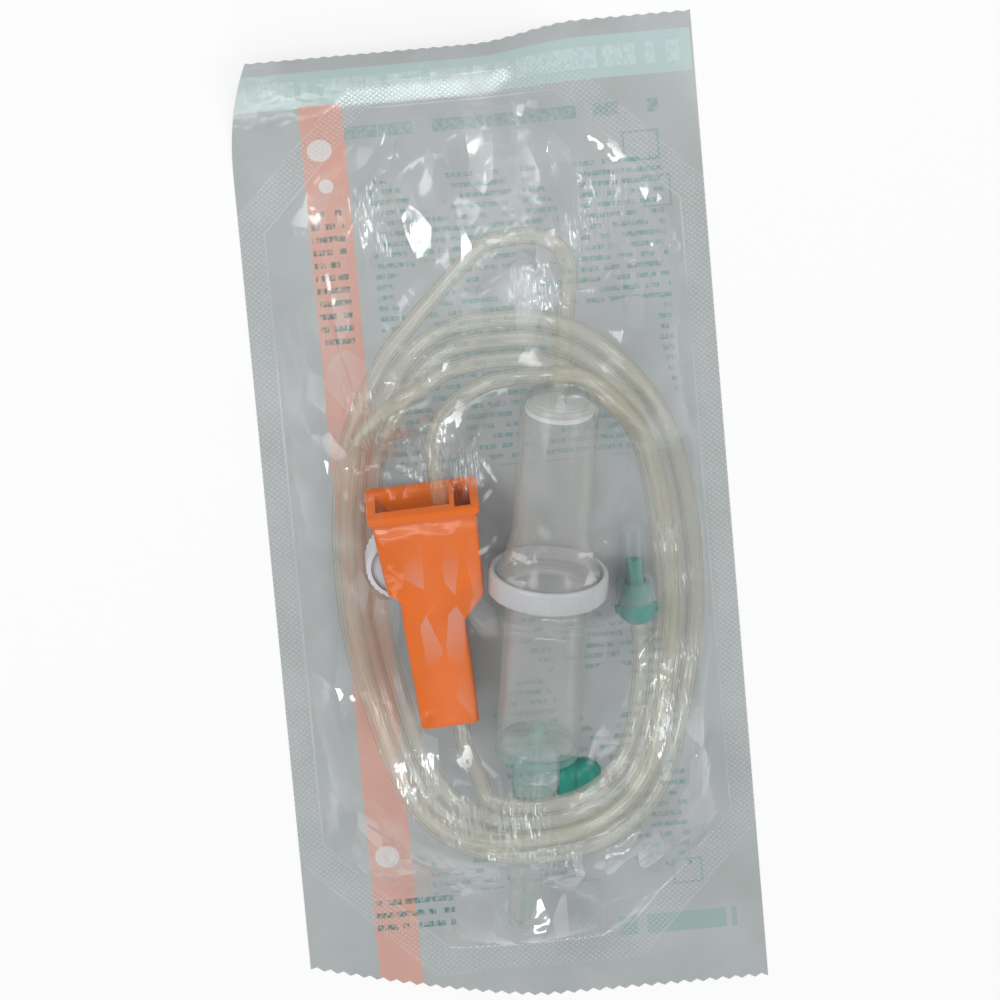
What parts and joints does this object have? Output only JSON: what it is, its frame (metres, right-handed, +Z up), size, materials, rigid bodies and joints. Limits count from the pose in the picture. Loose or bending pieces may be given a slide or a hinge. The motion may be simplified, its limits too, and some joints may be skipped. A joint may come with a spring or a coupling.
{
  "type": "iv infusion set in a sealed pouch",
  "caption": "Gravity infusion set with drip chamber, coiled tube, roller clamp and capped luer end, sealed flat in a clear film and paper pouch.",
  "frame": {"origin": "middle of the pouch's underside, where it lies on a table", "axes": "+Z up out of the film, +Y along the pouch towards the end that the picture shows at the top, +X to the picture's right"},
  "size_m": [0.113, 0.2614, 0.0308],
  "materials": {
    "paper": "matt coated medical paper",
    "film": "clear glossy film",
    "clear_rigid": "clear rigid plastic",
    "clear_soft": "clear soft plastic",
    "tube_clear": "clear flexible tube",
    "ring_white": "satin white moulding",
    "roller_white": "satin white moulding",
    "filter_white": "matt membrane",
    "spike_tint": "pale green translucent moulding",
    "cap_frosted": "frosted translucent moulding",
    "cap_green": "satin dark green moulding",
    "luer_green": "satin green moulding",
    "clamp_orange": "glossy orange moulding"
  },
  "bodies": {
    "set": {"pouch_paper": "paper", "pouch_film": "film", "spike": "spike_tint", "spike_cap": "cap_frosted", "vent_filter": "filter_white", "vent_cap": "cap_green", "chamber_upper": "clear_rigid", "chamber_ring": "ring_white", "chamber_lower": "clear_soft", "fluid_filter": "filter_white", "chamber_outlet": "clear_soft", "tubing_lead": "tube_clear", "tubing_coil": "tube_clear", "tubing_to_clamp": "tube_clear", "tubing_in_clamp": "tube_clear", "tubing_from_clamp": "tube_clear", "tubing_tail": "tube_clear", "clamp_housing": "clamp_orange", "luer_connector": "luer_green", "luer_cap": "cap_frosted"},
    "roller": {"clamp_roller": "roller_white"}
  },
  "joints": [
    {"name": "roller_slide", "type": "slide", "parent": "set", "child": "roller", "axis": [0.1064, -0.9898, -0.0949], "range_m": [0, 0.028], "deforming": ["tubing_in_clamp"]}
  ]
}
